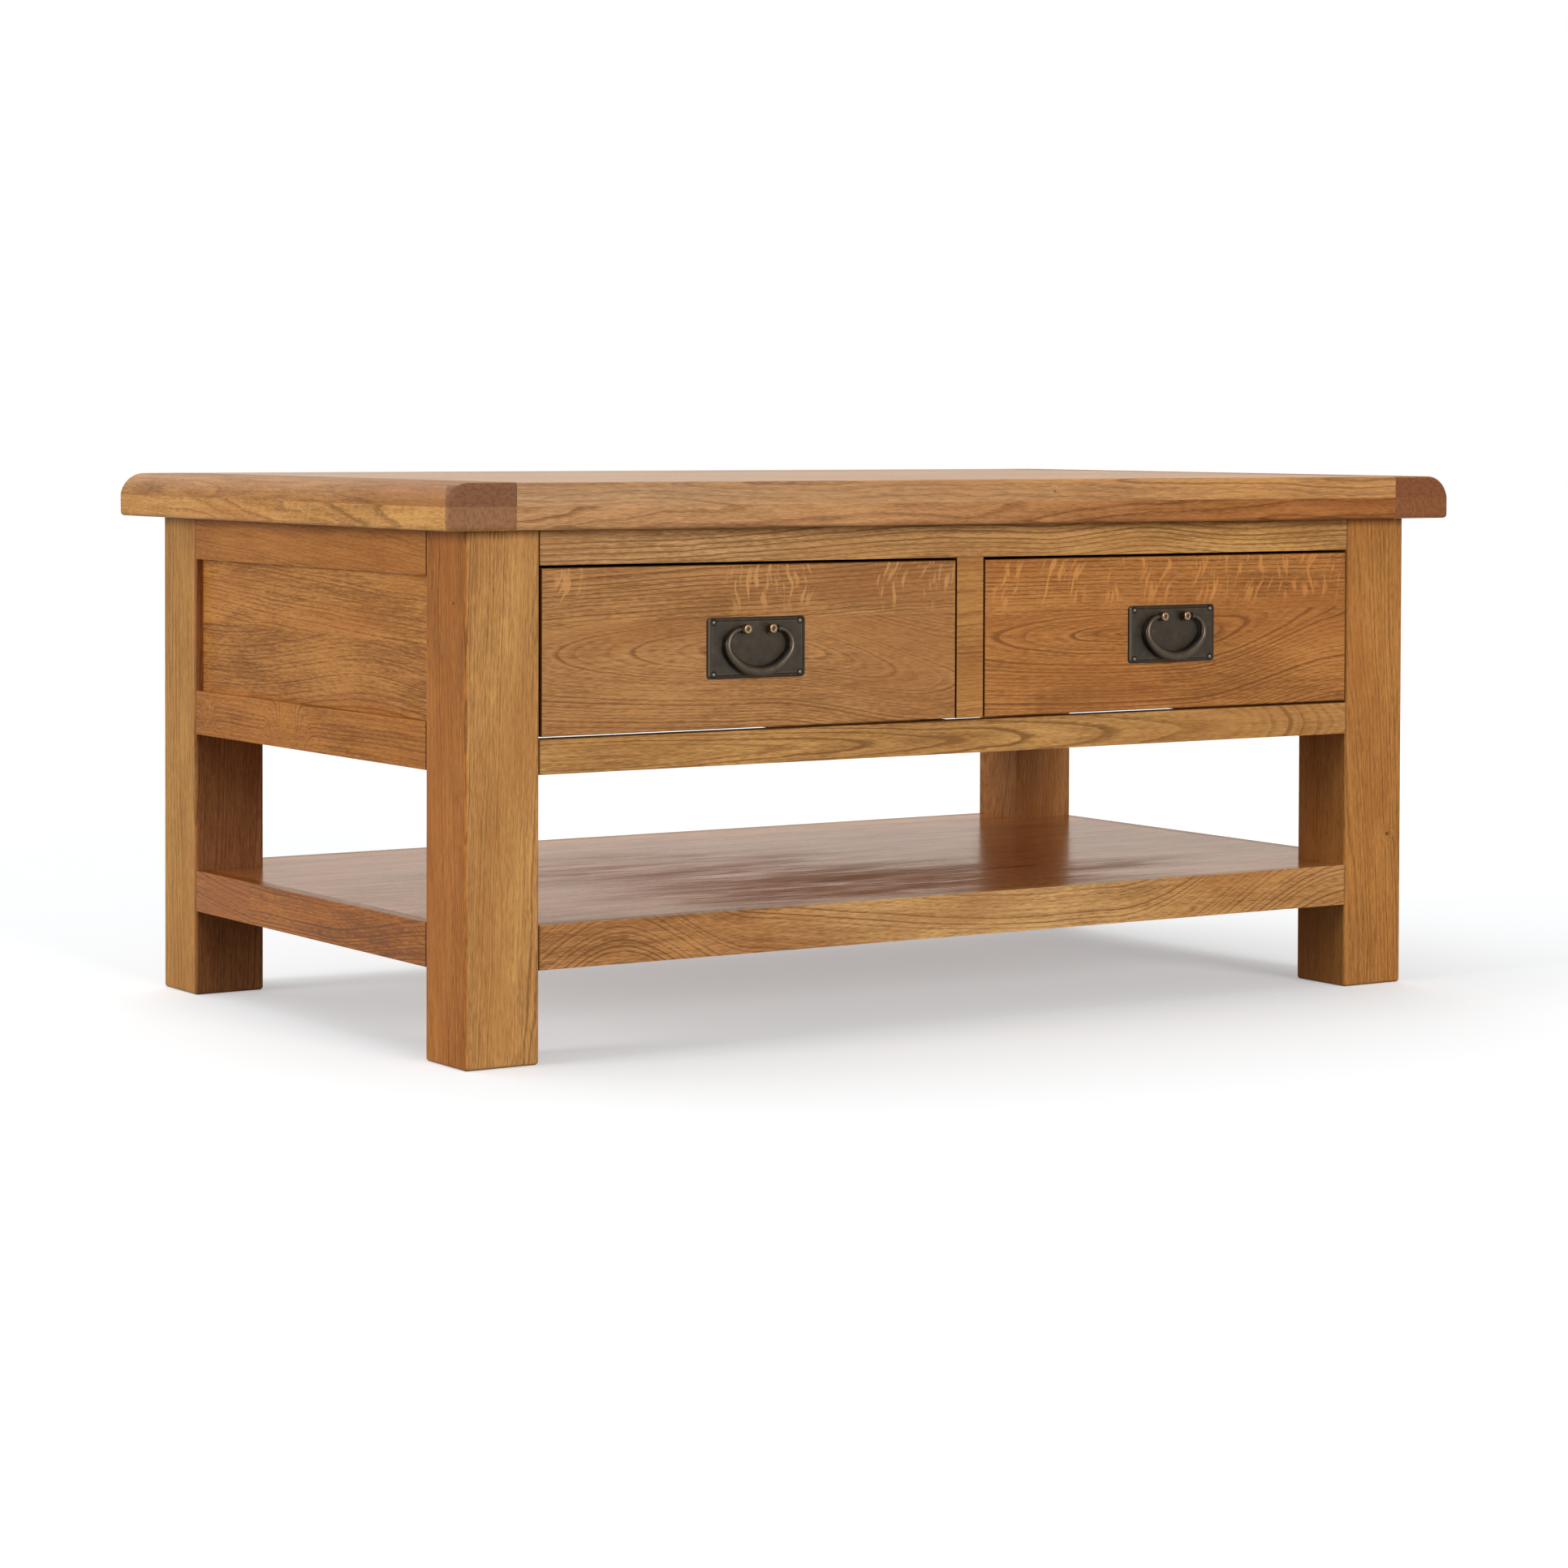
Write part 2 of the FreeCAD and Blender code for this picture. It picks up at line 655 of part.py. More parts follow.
def end_board(side, sign, planks):
    label = f"top_end_board_{side}"
    body = doc.addObject("PartDesign::Body", label + "_body")
    sketch = new_sketch(body, label + "_profile", "XZ_Plane")
    inner = f"{sign} * board_end"
    outer = f"{sign} * half_width"
    shoulder = f"{sign} * (half_width - end_round_reach)"
    low = "layer_seam"
    high = "table_height"
    corners = [(outer, low), (inner, low), (inner, high), (shoulder, high)]
    points = [FreeCAD.Vector(value(across), value(upward), 0) for across, upward in corners]
    for start, end in zip(points, points[1:]):
        sketch.addGeometry(Part.LineSegment(start, end))
    reach = value("end_round_reach")
    layer = value("top_layer")
    radius = (reach ** 2 + layer ** 2) / (2 * layer)
    lean = math.atan2(radius - layer, reach)
    turn = (lean, math.pi / 2) if sign > 0 else (math.pi / 2, math.pi - lean)
    centre = FreeCAD.Vector(value(shoulder), value(high) - radius, 0)
    sketch.addGeometry(Part.ArcOfCircle(Part.Circle(centre, up, radius), *turn))
    arc_low, arc_high = (1, 2) if sign > 0 else (2, 1)
    for line, (across, upward) in enumerate(corners[:-1]):
        fix_point(sketch, line, 1, across, upward)
    fix_point(sketch, 2, 2, shoulder, high)
    for line in (1, 2):
        sketch.addConstraint(Sketcher.Constraint("Coincident", line - 1, 2, line, 1))
    sketch.addConstraint(Sketcher.Constraint("Coincident", 0, 1, 3, arc_low))
    sketch.addConstraint(Sketcher.Constraint("Coincident", 2, 2, 3, arc_high))
    sketch.addConstraint(Sketcher.Constraint("Vertical", 3, 3, 2, 2))
    pad(body, sketch, "table_depth", symmetric=True)
    doc.recompute()
    fillet = body.newObject("PartDesign::Fillet", label + "_rims")
    base = fillet.BaseFeature or body.Tip
    rims = []
    for number, edge in enumerate(base.Shape.Edges, start=1):
        at_an_end = any(lies_at(edge, y=turned * value("half_depth")) for turned in ENDS.values())
        on_the_top = lies_at(edge, z=value(high))
        if at_an_end and (on_the_top or isinstance(edge.Curve, Part.Circle)):
            rims.append(f"Edge{number}")
    fillet.Base = (base, rims)
    bind(fillet, "Radius", "edge_round")
    return done(cut(label, body, planks), label)


top_planks = [top_plank(number) for number in range(TOP_PLANKS)]
for side_name, side_sign in SIDES.items():
    end_board(side_name, side_sign, top_planks)

# Blocks glued into the corner between the top rails and the top, and screwed up into its strips.

block_z = ("top_underside - block_size", "top_underside")


def block_places():
    """Each block's strip, its x and y spans, and the x and y of its screw."""
    places = []
    for sign in SIDES.values():
        middle = f"{sign} * block_place_x"
        x = (f"{middle} - block_length / 2", f"{middle} + block_length / 2")
        places.append(("front", x, ("-front_rail_in_y", "-front_rail_in_y + block_size"),
                       middle, "-front_rail_in_y + screw_inset"))
        places.append(("back", x, ("rail_in_y - block_size", "rail_in_y"),
                       middle, "rail_in_y - screw_inset"))
    for side, sign in SIDES.items():
        x = side_of(sign, ("rail_in_x - block_size", "rail_in_x"))
        for turn in ENDS.values():
            middle = f"{turn} * block_place_y"
            y = (f"{middle} - block_length / 2", f"{middle} + block_length / 2")
            places.append((side, x, y, f"{sign} * (rail_in_x - screw_inset)", middle))
    return places


top_blocks = []
top_screws = []
screw_holes = {name: [] for name in strip_blanks}
for number, (strip_name, block_x, block_y, screw_x, screw_y) in enumerate(block_places(), start=1):
    seat = block_z[0]
    head = rod(f"screw_{number}_head", "screw_head", "screw_head_height",
               screw_x, screw_y, f"{seat} - screw_head_height", up)
    shank = rod(f"screw_{number}_shank", "screw_shank", "screw_length", screw_x, screw_y, seat, up)
    hole = rod(f"screw_{number}_hole", "screw_shank + screw_clearance", "screw_length + screw_clearance",
               screw_x, screw_y, seat, up)
    top_screws.append(fused(f"screw_{number}", [head, shank]))
    blank = block(f"block_{number}_blank", block_x, block_y, block_z)
    top_blocks.append(cut(f"block_{number}", blank, [hole]))
    screw_holes[strip_name].append(hole)
done(group("top_blocks", top_blocks), "top_blocks")
done(group("top_screws", top_screws), "top_screws")

for strip_name, strip_blank in strip_blanks.items():
    strip_label = f"top_strip_{strip_name}"
    done(cut(strip_label, strip_blank, screw_holes[strip_name]), strip_label)

# Drawer boxes: sides dovetailed into the front and grooved for the runners, the back let into
# dados, and the bottom slid into grooves from behind, under the back.


def dovetail_corners():
    """The side's outline with its tails, which point forward into the drawer front."""
    corners = [("drawer_end_y", "drawer_side_top"), ("drawer_end_y", "drawer_side_base")]
    tails = max(1, round(value("drawer_side_height / dovetail_pitch")))
    pitch = f"drawer_side_height / {tails}"
    for tail in range(tails):
        middle = f"drawer_side_base + {tail + 0.5} * {pitch}"
        neck = "dovetail_neck / 2"
        tip = "dovetail_neck / 2 + dovetail_flare"
        if tail == 0:
            corners.append(("drawer_inside_y", "drawer_side_base"))
        corners += [("drawer_inside_y", f"{middle} - {neck}"),
                    ("drawer_tail_y", f"{middle} - ({tip})"),
                    ("drawer_tail_y", f"{middle} + {tip}"),
                    ("drawer_inside_y", f"{middle} + {neck}")]
    corners.append(("drawer_inside_y", "drawer_side_top"))
    return corners


def drawer_side(label, outer_x, inner_x, bottom, back):
    """outer_x and inner_x are the faces away from and towards the drawer's inside."""
    body = doc.addObject("PartDesign::Body", label + "_body")
    pad(body, outline(body, label + "_outline", "YZ_Plane", dovetail_corners()), "drawer_side_thickness")
    on_the_left = value(inner_x) > value(outer_x)
    bind(body, "Placement.Base.x", outer_x if on_the_left else inner_x)
    depth = "runner_reach - drawer_gap_side + runner_clearance_side"
    groove_x = (outer_x, f"{outer_x} + {depth}") if on_the_left else (f"{outer_x} - ({depth})", outer_x)
    groove = block(label + "_runner_groove", groove_x,
                   ("-runner_front - runner_clearance_front", "drawer_end_y"),
                   ("runner_base - runner_clearance_below", "runner_top"))
    return done(cut(label, body, [groove, bottom, back]), label)


def drawer(side, sign):
    stem = f"{side}_drawer"
    low_x, high_x = side_of(sign, ("drawer_in_x", "drawer_out_x"))
    left_inside = f"{low_x} + drawer_side_thickness"
    right_inside = f"{high_x} - drawer_side_thickness"
    bottom_x = (f"{left_inside} - drawer_bottom_groove", f"{right_inside} + drawer_bottom_groove")
    bottom_y = ("drawer_inside_y - drawer_bottom_groove", "drawer_end_y")
    bottom = block(stem + "_bottom", bottom_x, bottom_y, ("drawer_bottom_base", "drawer_bottom_top"))
    done(bottom, stem + "_bottom")
    back_x = (f"{left_inside} - drawer_back_dado", f"{right_inside} + drawer_back_dado")
    back = block(stem + "_back", back_x, ("drawer_back_near_y", "drawer_back_far_y"),
                 ("drawer_bottom_top", "drawer_side_top - drawer_back_drop"))
    done(back, stem + "_back")
    sides = [drawer_side(stem + "_side_left", low_x, left_inside, bottom, back),
             drawer_side(stem + "_side_right", high_x, right_inside, bottom, back)]
    face = block(stem + "_front_board", (low_x, high_x), ("drawer_face_y", "drawer_inside_y"),
                 ("drawer_front_base", "drawer_front_top"))
    rims = [{"y": "drawer_face_y", "x": low_x},
            {"y": "drawer_face_y", "x": high_x},
            {"y": "drawer_face_y", "z": "drawer_front_base"},
            {"y": "drawer_face_y", "z": "drawer_front_top"}]
    face = eased(stem + "_front_eased", face, "drawer_front_round", rims)
    holes = handle(stem, side, f"{sign} * drawer_mid_x")
    done(cut(stem + "_front", face, sides + [bottom] + holes), stem + "_front")


# Handles: a bevelled plate held by four domed pins, two posts with nuts behind the drawer front,
# and a swelling bail that swings on pins entering the posts from outside.


def handle_plate(stem, mid_x, holes):
    body = doc.addObject("PartDesign::Body", stem + "_plate_body")
    half_x = "plate_width / 2"
    half_z = "plate_height / 2"
    corners = [(f"-{half_x}", f"-{half_z}"), (half_x, f"-{half_z}"),
               (half_x, half_z), (f"-{half_x}", half_z)]
    pad(body, outline(body, stem + "_plate_outline", "XZ_Plane", corners), "plate_thickness")
    corner_edges = [{"x": across, "z": upward} for across, upward in corners]
    dress(body, "PartDesign::Fillet", "plate_corner_round", corner_edges)
    bevel = dress(body, "PartDesign::Chamfer", "plate_bevel_depth", [{"y": "-plate_thickness"}])
    bevel.ChamferType = "Two distances"
    bind(bevel, "Size2", "plate_bevel_width")
    bind(body, "Placement.Base.x", mid_x)
    bind(body, "Placement.Base.y", "drawer_face_y")
    bind(body, "Placement.Base.z", "plate_mid_z")
    return done(cut(stem + "_handle_plate", body, holes), stem + "_handle_plate")


def pin_places(mid_x):
    """Where the four pins stand on the plate, as (x, z) formulas."""
    return [(f"{mid_x} + {across} * pin_spacing_x / 2", f"plate_mid_z + {upward} * pin_spacing_z / 2")
            for across in SIDES.values() for upward in (-1, 1)]


def handle_pins(stem, mid_x):
    """Four nails with domed heads, each dome a cap cut from a sphere."""
    pins = []
    for number, (x, z) in enumerate(pin_places(mid_x), start=1):
        shank = rod(f"{stem}_pin_{number}_shank", "pin_shank", "pin_shank_length",
                    x, "plate_face_y", z, inward)
        dome = doc.addObject("Part::Sphere", f"{stem}_pin_{number}_dome")
        ball = "((pin_head / 2) ^ 2 + pin_head_height ^ 2) / (2 * pin_head_height)"
        bind(dome, "Radius", ball)
        dome.setExpression("Angle1", f"asin(1 - ({in_sheet('pin_head_height')}) / ({in_sheet(ball)}))")
        dome.Placement = FreeCAD.Placement(FreeCAD.Vector(), FreeCAD.Rotation(up, outward))
        bind(dome, "Placement.Base.x", x)
        bind(dome, "Placement.Base.y", f"plate_face_y - pin_head_height + {ball}")
        bind(dome, "Placement.Base.z", z)
        pins.append(fused(f"{stem}_pin_{number}", [shank, dome]))
    return done(group(stem + "_handle_pins", pins), stem + "_handle_pins")


def handle_posts(stem, mid_x):
    """Turned posts: a threaded stud, a base that bears on the plate, and a dimpled head."""
    body = doc.addObject("PartDesign::Body", stem + "_post_body")
    corners = [("0", "drawer_front_thickness + nut_thickness"),
               ("post_stud / 2", "drawer_front_thickness + nut_thickness"),
               ("post_stud / 2", "-plate_thickness"),
               ("post_base / 2", "-plate_thickness"),
               ("post_base / 2", "-plate_thickness - post_base_height"),
               ("post_head / 2", "-plate_thickness - post_base_height"),
               ("post_head / 2", "-post_reach"),
               ("post_dimple / 2", "-post_reach"),
               ("0", "-post_reach + post_dimple_depth")]
    revolve(body, outline(body, stem + "_post_profile", "XY_Plane", corners))
    dress(body, "PartDesign::Fillet", "post_head_round", [{"y": "-post_reach"}])
    bind(body, "Placement.Base.x", f"{mid_x} + post_spacing / 2")
    bind(body, "Placement.Base.y", "drawer_face_y")
    bind(body, "Placement.Base.z", "post_mid_z")
    hole = rod(stem + "_pivot_hole", "pivot_pin + pivot_clearance", "2 * post_head",
               f"{mid_x} + post_spacing / 2 - post_head", "pivot_y", "post_mid_z", rightward)
    post = cut(stem + "_post", body, [hole])
    other = mirrored(stem + "_post_mirrored", post, rightward, {"x": mid_x})
    return done(group(stem + "_handle_posts", [post, other]), stem + "_handle_posts")


def handle_nuts(stem, mid_x):
    nuts = []
    for side, sign in SIDES.items():
        x = f"{mid_x} + {sign} * post_spacing / 2"
        prism = doc.addObject("Part::Prism", f"{stem}_nut_{side}_prism")
        prism.Polygon = 6
        prism.setExpression("Circumradius", f"{in_sheet('nut_across_flats')} / 2 / cos(30)")
        bind(prism, "Height", "nut_thickness")
        prism.Placement = FreeCAD.Placement(FreeCAD.Vector(), FreeCAD.Rotation(up, inward))
        for letter, place in zip("xyz", (x, "drawer_inside_y", "post_mid_z")):
            bind(prism, f"Placement.Base.{letter}", place)
        bore = rod(f"{stem}_nut_{side}_bore", "post_stud + nut_clearance", "nut_thickness",
                   x, "drawer_inside_y", "post_mid_z", inward)
        nuts.append(cut(f"{stem}_nut_{side}", prism, [bore]))
    return done(group(stem + "_handle_nuts", nuts), stem + "_handle_nuts")


def bail_ring():
    """The bail's swelling ring: straight leads, tight side arcs and one wide bottom arc."""
    lead = value("collar_start")
    shoulder = value("collar_start + collar_length")
    drop = value("bail_drop")
    small = value("bail_width / 2 - bail_shoulder / 2") - shoulder
    rise = (shoulder ** 2 + small ** 2 - (drop - small) ** 2) / (2 * (drop - 2 * small))
    large = rise + drop
    lean = math.atan2(shoulder, small + rise)
    joint = FreeCAD.Vector(large * math.sin(lean), 0, rise - large * math.cos(lean))
    widest = FreeCAD.Vector(shoulder + small, 0, -small)
    top = FreeCAD.Vector(shoulder, 0, 0)
    start = FreeCAD.Vector(lead, 0, 0)
    bottom = FreeCAD.Vector(0, 0, -drop)

    def other(point):
        return FreeCAD.Vector(-point.x, point.y, point.z)

    path = Part.Wire([
        Part.makeLine(start, top),
        Part.Arc(top, widest, joint).toShape(),
        Part.Arc(joint, bottom, other(joint)).toShape(),
        Part.Arc(other(joint), other(widest), other(top)).toShape(),
        Part.makeLine(other(top), other(start)),
    ])
    sweep = Part.BRepOffsetAPI.MakePipeShell(path)
    stations = [(start, rightward, "bail_end"),
                (widest, up, "bail_shoulder"),
                (bottom, rightward, "bail_middle"),
                (other(widest), up, "bail_shoulder"),
                (other(start), rightward, "bail_end")]
    for place, normal, thickness in stations:
        sweep.add(Part.Wire(Part.makeCircle(value(thickness) / 2, place, normal)), False, False)
    sweep.build()
    sweep.makeSolid()
    return sweep.shape()


def bail(label, mid_x):
    ring = doc.addObject("Part::Feature", label + "_ring")
    ring.Shape = bail_ring()
    ring.Placement.Base = FreeCAD.Vector(value(mid_x), value("pivot_y"), value("post_mid_z"))
    pieces = [ring]
    for side, sign in SIDES.items():
        along = rightward * sign
        start = f"{mid_x} + {sign} * (post_spacing / 2 - pivot_depth)"
        seat = f"{mid_x} + {sign} * collar_start"
        pin_length = "collar_start - post_spacing / 2 + pivot_depth"
        pieces.append(rod(f"{label}_pin_{side}", "pivot_pin", pin_length,
                          start, "pivot_y", "post_mid_z", along))
        pieces.append(rod(f"{label}_collar_{side}", "collar_diameter", "collar_length",
                          seat, "pivot_y", "post_mid_z", along))
    return done(fused(label, pieces), label)


def handle(stem, side, mid_x):
    """Makes one drawer's handle and returns the holes that its drawer front needs."""
    stud_length = "drawer_front_thickness + plate_thickness"
    holes = [rod(f"{stem}_stud_hole_{turn}", "post_stud + hole_clearance", stud_length,
                 f"{mid_x} + {sign} * post_spacing / 2", "plate_face_y", "post_mid_z", inward)
             for turn, sign in SIDES.items()]
    holes += [rod(f"{stem}_pin_hole_{number}", "pin_shank + pin_clearance", "pin_shank_length",
                  x, "plate_face_y", z, inward)
              for number, (x, z) in enumerate(pin_places(mid_x), start=1)]
    handle_plate(stem, mid_x, holes)
    handle_pins(stem, mid_x)
    handle_posts(stem, mid_x)
    handle_nuts(stem, mid_x)
    bail(f"{side}_bail", mid_x)
    return holes


for side_name, side_sign in SIDES.items():
    drawer(side_name, side_sign)

# Every piece is one closed solid, or a group of them, and is written under its own name.

doc.recompute()
for item in doc.Objects:
    if "Invalid" in item.State or "Error" in item.State:
        raise RuntimeError(f"{item.Name} did not build: {item.State}")
for piece in parts:
    if piece.Shape.isNull() or not piece.Shape.isValid() or not piece.Shape.Solids:
        raise RuntimeError(f"{piece.Label} has no valid solid")

os.makedirs("parts", exist_ok=True)
for piece in parts:
    piece.Shape.exportStep(f"parts/{piece.Label}.step")
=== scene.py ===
import math

import bpy
from mathutils import Matrix, Vector


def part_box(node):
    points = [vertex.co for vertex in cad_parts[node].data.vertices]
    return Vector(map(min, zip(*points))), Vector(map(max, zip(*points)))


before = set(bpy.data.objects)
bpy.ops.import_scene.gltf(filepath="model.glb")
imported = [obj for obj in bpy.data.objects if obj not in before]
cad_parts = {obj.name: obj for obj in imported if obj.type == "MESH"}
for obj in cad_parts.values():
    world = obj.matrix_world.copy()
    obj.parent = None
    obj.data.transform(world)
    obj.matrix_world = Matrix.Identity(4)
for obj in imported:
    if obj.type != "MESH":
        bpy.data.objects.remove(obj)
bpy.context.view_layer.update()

# Legs: four square posts of solid oak with the grain upright, edges and feet rounded over,
# stained honey brown and sprayed with satin lacquer. Every rail is tenoned into them.

AXES = "xyz"
MM = 1000.0


class Shade:
    """A socket in a material's node tree. Arithmetic on values adds Math nodes."""

    def __init__(self, tree, socket=None):
        self.tree = tree
        self.socket = socket

    def node(self, kind, settings, sockets, out=0):
        made = self.tree.nodes.new(kind)
        for key, setting in settings.items():
            if key == "stops":
                ramp = made.color_ramp
                while len(ramp.elements) < len(setting):
                    ramp.elements.new(0.5)
                for element, (place, colour) in zip(ramp.elements, setting):
                    element.position = place
                    element.color = colour
            else:
                setattr(made, key, setting)
        for key, given in sockets.items():
            if isinstance(given, Shade):
                self.tree.links.new(given.socket, made.inputs[key])
            else:
                made.inputs[key].default_value = given
        return Shade(self.tree, made.outputs[out] if made.outputs else None)

    def maths(self, operation, first, second=0.0):
        return self.node("ShaderNodeMath", {"operation": operation}, {0: first, 1: second})

    def __add__(self, other):
        return self.maths("ADD", self, other)

    def __sub__(self, other):
        return self.maths("SUBTRACT", self, other)

    def __mul__(self, other):
        return self.maths("MULTIPLY", self, other)

    def __truediv__(self, other):
        return self.maths("DIVIDE", self, other)

    def __pow__(self, other):
        return self.maths("POWER", self, other)

    def __rsub__(self, other):
        return self.maths("SUBTRACT", other, self)

    __radd__ = __add__
    __rmul__ = __mul__

    def __abs__(self):
        return self.maths("ABSOLUTE", self)

    def above(self, edge):
        return self.maths("GREATER_THAN", self, edge)

    def far(self, other):
        """How far off two offsets at right angles lead together."""
        return (self * self + other * other) ** 0.5

    def rise(self, low, high):
        """0 below low, 1 above high, and smooth between."""
        return self.node("ShaderNodeMapRange", {"interpolation_type": "SMOOTHSTEP"},
                         {"Value": self, "From Min": low, "From Max": high})

    def blend(self, share, other, mode="MIX"):
        """This colour turned into the other one, or multiplied by it, by a share."""
        return self.node("ShaderNodeMix", {"data_type": "RGBA", "blend_type": mode},
                         {0: share, 6: self, 7: other}, out=2)

    def noise(self, x, y, z, detail=1.0):
        place = self.node("ShaderNodeCombineXYZ", {}, {0: x, 1: y, 2: z})
        return self.node("ShaderNodeTexNoise", {}, {"Vector": place, "Scale": 1.0, "Detail": detail})

    def spots(self, out="Object"):
        """The place on the piece in millimetres, or its normal, as x, y and z."""
        place = self.node("ShaderNodeTexCoord", {}, {}, out=out)
        scale = MM if out == "Object" else 1.0
        return {axis: self.node("ShaderNodeSeparateXYZ", {}, {0: place}, out=i) * scale
                for i, axis in enumerate(AXES)}


def from_screen(red, green, blue):
    """A colour as seen on a screen, 0 to 255, as the linear colour that a shader takes."""
    parts = [part / 255 for part in (red, green, blue)]
    linear = [part / 12.92 if part < 0.04045 else ((part + 0.055) / 1.055) ** 2.4 for part in parts]
    return linear + [1.0]


def shaded(colour, factor, warmth=0.0):
    """The colour made darker or lighter, and redder by warmth."""
    red, green, blue = colour[:3]
    return [red * factor * (1 + 0.3 * warmth), green * factor * (1 - 0.3 * warmth),
            blue * factor * (1 - 0.7 * warmth), 1.0]


def new_material(name):
    material = bpy.data.materials.new(name)
    material.use_nodes = True
    material.node_tree.nodes.clear()
    return material, Shade(material.node_tree)


def cover(node, material):
    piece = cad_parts[node]
    if not piece.material_slots:
        piece.data.materials.append(material)
    for slot in piece.material_slots:
        slot.material = material


def middle_of(low, high):
    """The middle of a box given in metres, as x, y and z in millimetres."""
    return {axis: (low[i] + high[i]) / 2 * MM for i, axis in enumerate(AXES)}


def oak(node, along, face, tone, pith, lean=(0.0, 0.0), ring=2.6, seed=0.0, contrast=1.0, wander=10.0,
        bold=0.55, staves=(), crooks=(), knots=(), tints=(), dull=(), flecks=None, curl=0.0,
        shoulder=None, stain=None, ends=None, roughness=0.48, specular=0.1):
    """Oak sawn from a log: the growth rings lie round a pith line and are cut by every face of the board.

    along is the grain's axis and face the axis through the board. pith is where the log's middle lies,
    across and through the board from its own middle, and lean how far it strays per millimetre. ring is a
    year's growth, wander how far the rings stray, and bold how dark their open grain is. Lengths are in
    millimetres, and places are the table's own.

    staves: further pieces glued on, each the axis and place of the joint, then its own pith and lean.
    crooks: bends of the first log, each a place along it, how far to each side the bend reaches, and how
        far it goes across and through the board.
    knots: each a place, a size, the axis of the branch and how dark its heart is.
    tints: each an axis, two places and a colour, by which the wood is multiplied beyond them. On two
        legs they paint light and shade onto a single face.
    dull: patches where the lacquer is rubbed, each x and y, the reach along both, and roughness added.
    flecks: pale strokes, as the axis and place where they start, how strong they are, and their groups
        along the grain, each a place and half a length.
    curl: how strong the ripple across the grain is.
    shoulder: how far from the middle the board meets its neighbours, and a painted shadow darkens that
    seam.
    stain: gives the share of end grain on a rounded edge. ends: the tone of end grain.
    """
    material, start = new_material("oak_" + node)
    middle = middle_of(*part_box(node))
    across = next(axis for axis in AXES if axis not in (along, face))
    spot = start.spots()
    a, b, c = (spot[axis] - middle[axis] for axis in (along, across, face))

    # Each stave has its own log, and noise of its own, far from that of the others.
    stave = 0.0
    log = last = [*pith, *lean]
    for axis, joint, *own in staves:
        beyond = spot[axis].above(joint)
        stave = stave + beyond
        log = [here + beyond * (new - old) for here, new, old in zip(log, own, last)]
        last = own
    stave_step, log_step = 37.0, 91.0
    shift = stave * stave_step + seed
    a_far = a + shift * log_step

    def waves(lengthwise, crosswise, detail, over=0.0, through=0.0):
        """Noise drawn out along the grain, by its waves per millimetre along it and across it."""
        return start.noise(a_far * lengthwise, b * crosswise + over, c * crosswise + through, detail)

    slow = waves(lengthwise=0.0045, crosswise=0.013, detail=2.0, over=shift)
    quick = waves(lengthwise=0.024, crosswise=0.07, detail=1.5, over=shift)
    streak = waves(lengthwise=0.022, crosswise=0.4, detail=2.5)
    fibre = waves(lengthwise=0.12, crosswise=1.9, detail=1.5)
    pores = waves(lengthwise=0.11, crosswise=2.2, detail=1.0, over=3.0).rise(0.5, 0.64)
    patch = waves(lengthwise=0.007, crosswise=0.03, detail=2.0, over=shift)
    blush = waves(lengthwise=0.005, crosswise=0.02, detail=1.5, over=5.0, through=shift)

    # Rings: how far from the pith a place lies, with bends, ripples and knots, counted in years.
    off_b = b - log[0] - a * log[2]
    off_c = c - log[1] - a * log[3]
    for place, reach, over, through in crooks:
        bend = (1.0 - abs(spot[along] - place).rise(0.0, reach)) * (1.0 - stave)
        off_b = off_b - bend * over
        off_c = off_c - bend * through
    ripple = 1.6
    radius = off_b.far(off_c) + (slow - 0.5) * wander + (quick - 0.5) * ripple
    swirl_reach, swirl_push = 5, 4.0
    branches = []
    for place, size, pierced, heart in knots:
        from_knot = {axis: spot[axis] - there for axis, there in zip(AXES, place)}
        one, other = (from_knot[axis] for axis in AXES if axis != pierced)
        aside = one.far(other)
        radius = radius + (1.0 - aside.rise(0.0, size * swirl_reach)) * size * swirl_push
        branches.append((aside, abs(from_knot[pierced]), size, heart))
    years = radius / ring
    unevenness = 2.4
    years = years + (start.noise(years * 0.31, shift, 0.5) - 0.5) * unevenness
    season = start.maths("FRACT", years)
    early = (1.0 - season.rise(0.0, 0.34)) + season.rise(0.92, 1.0)
    vigour = start.noise(years * 0.43, shift + 0.5, 0.5).rise(0.3, 0.72)
    fine_lines = abs(start.maths("FRACT", years * 1.37) - 0.5)

    # Colour: paler and yellower in late wood, darker and redder in open early wood and pores.
    base = from_screen(*tone)
    redder, pore_colour = shaded(base, 0.88, 0.3), shaded(base, 0.40, 0.12)
    line_share, fibre_share, own_tone = 0.45, 1.6, 0.38
    figure = early * vigour * bold + (fine_lines - 0.25) * line_share + (patch - 0.5)
    dark = (figure + (streak - 0.5) + (fibre - 0.5) * fibre_share) * contrast
    if curl:
        dark = dark + (start.noise(a * 0.2 + b * 0.12, b * 0.03, shift) - 0.5) * curl
    colour = start.node("ShaderNodeValToRGB", {"stops": [
        (0.0, shaded(base, 1.46, -0.12)), (0.36, shaded(base, 1.12, -0.02)),
        (0.64, shaded(base, 0.84, 0.05)), (1.0, shaded(base, 0.52, 0.14))]}, {0: dark + own_tone})
    colour = colour.blend(blush.rise(0.45, 0.75) * 0.5, redder)
    colour = colour.blend(pores * (early * vigour * 0.6 + 0.22) * contrast, pore_colour)
    if flecks is not None:
        fleck_axis, fleck_from, amount, groups = flecks
        fade_in, full = 6.0, 14.0
        sway = start.noise(a_far * 0.014, b * 0.025, 5.0)
        stroke = start.noise(a_far * 0.22 - b * 0.05 + sway * 7.0, b * 0.045, 9.0, 1.5).rise(0.52, 0.66)
        group = 0.0
        for place, half in groups:
            group = group + (1.0 - abs(spot[along] - place).rise(half * 0.6, half))
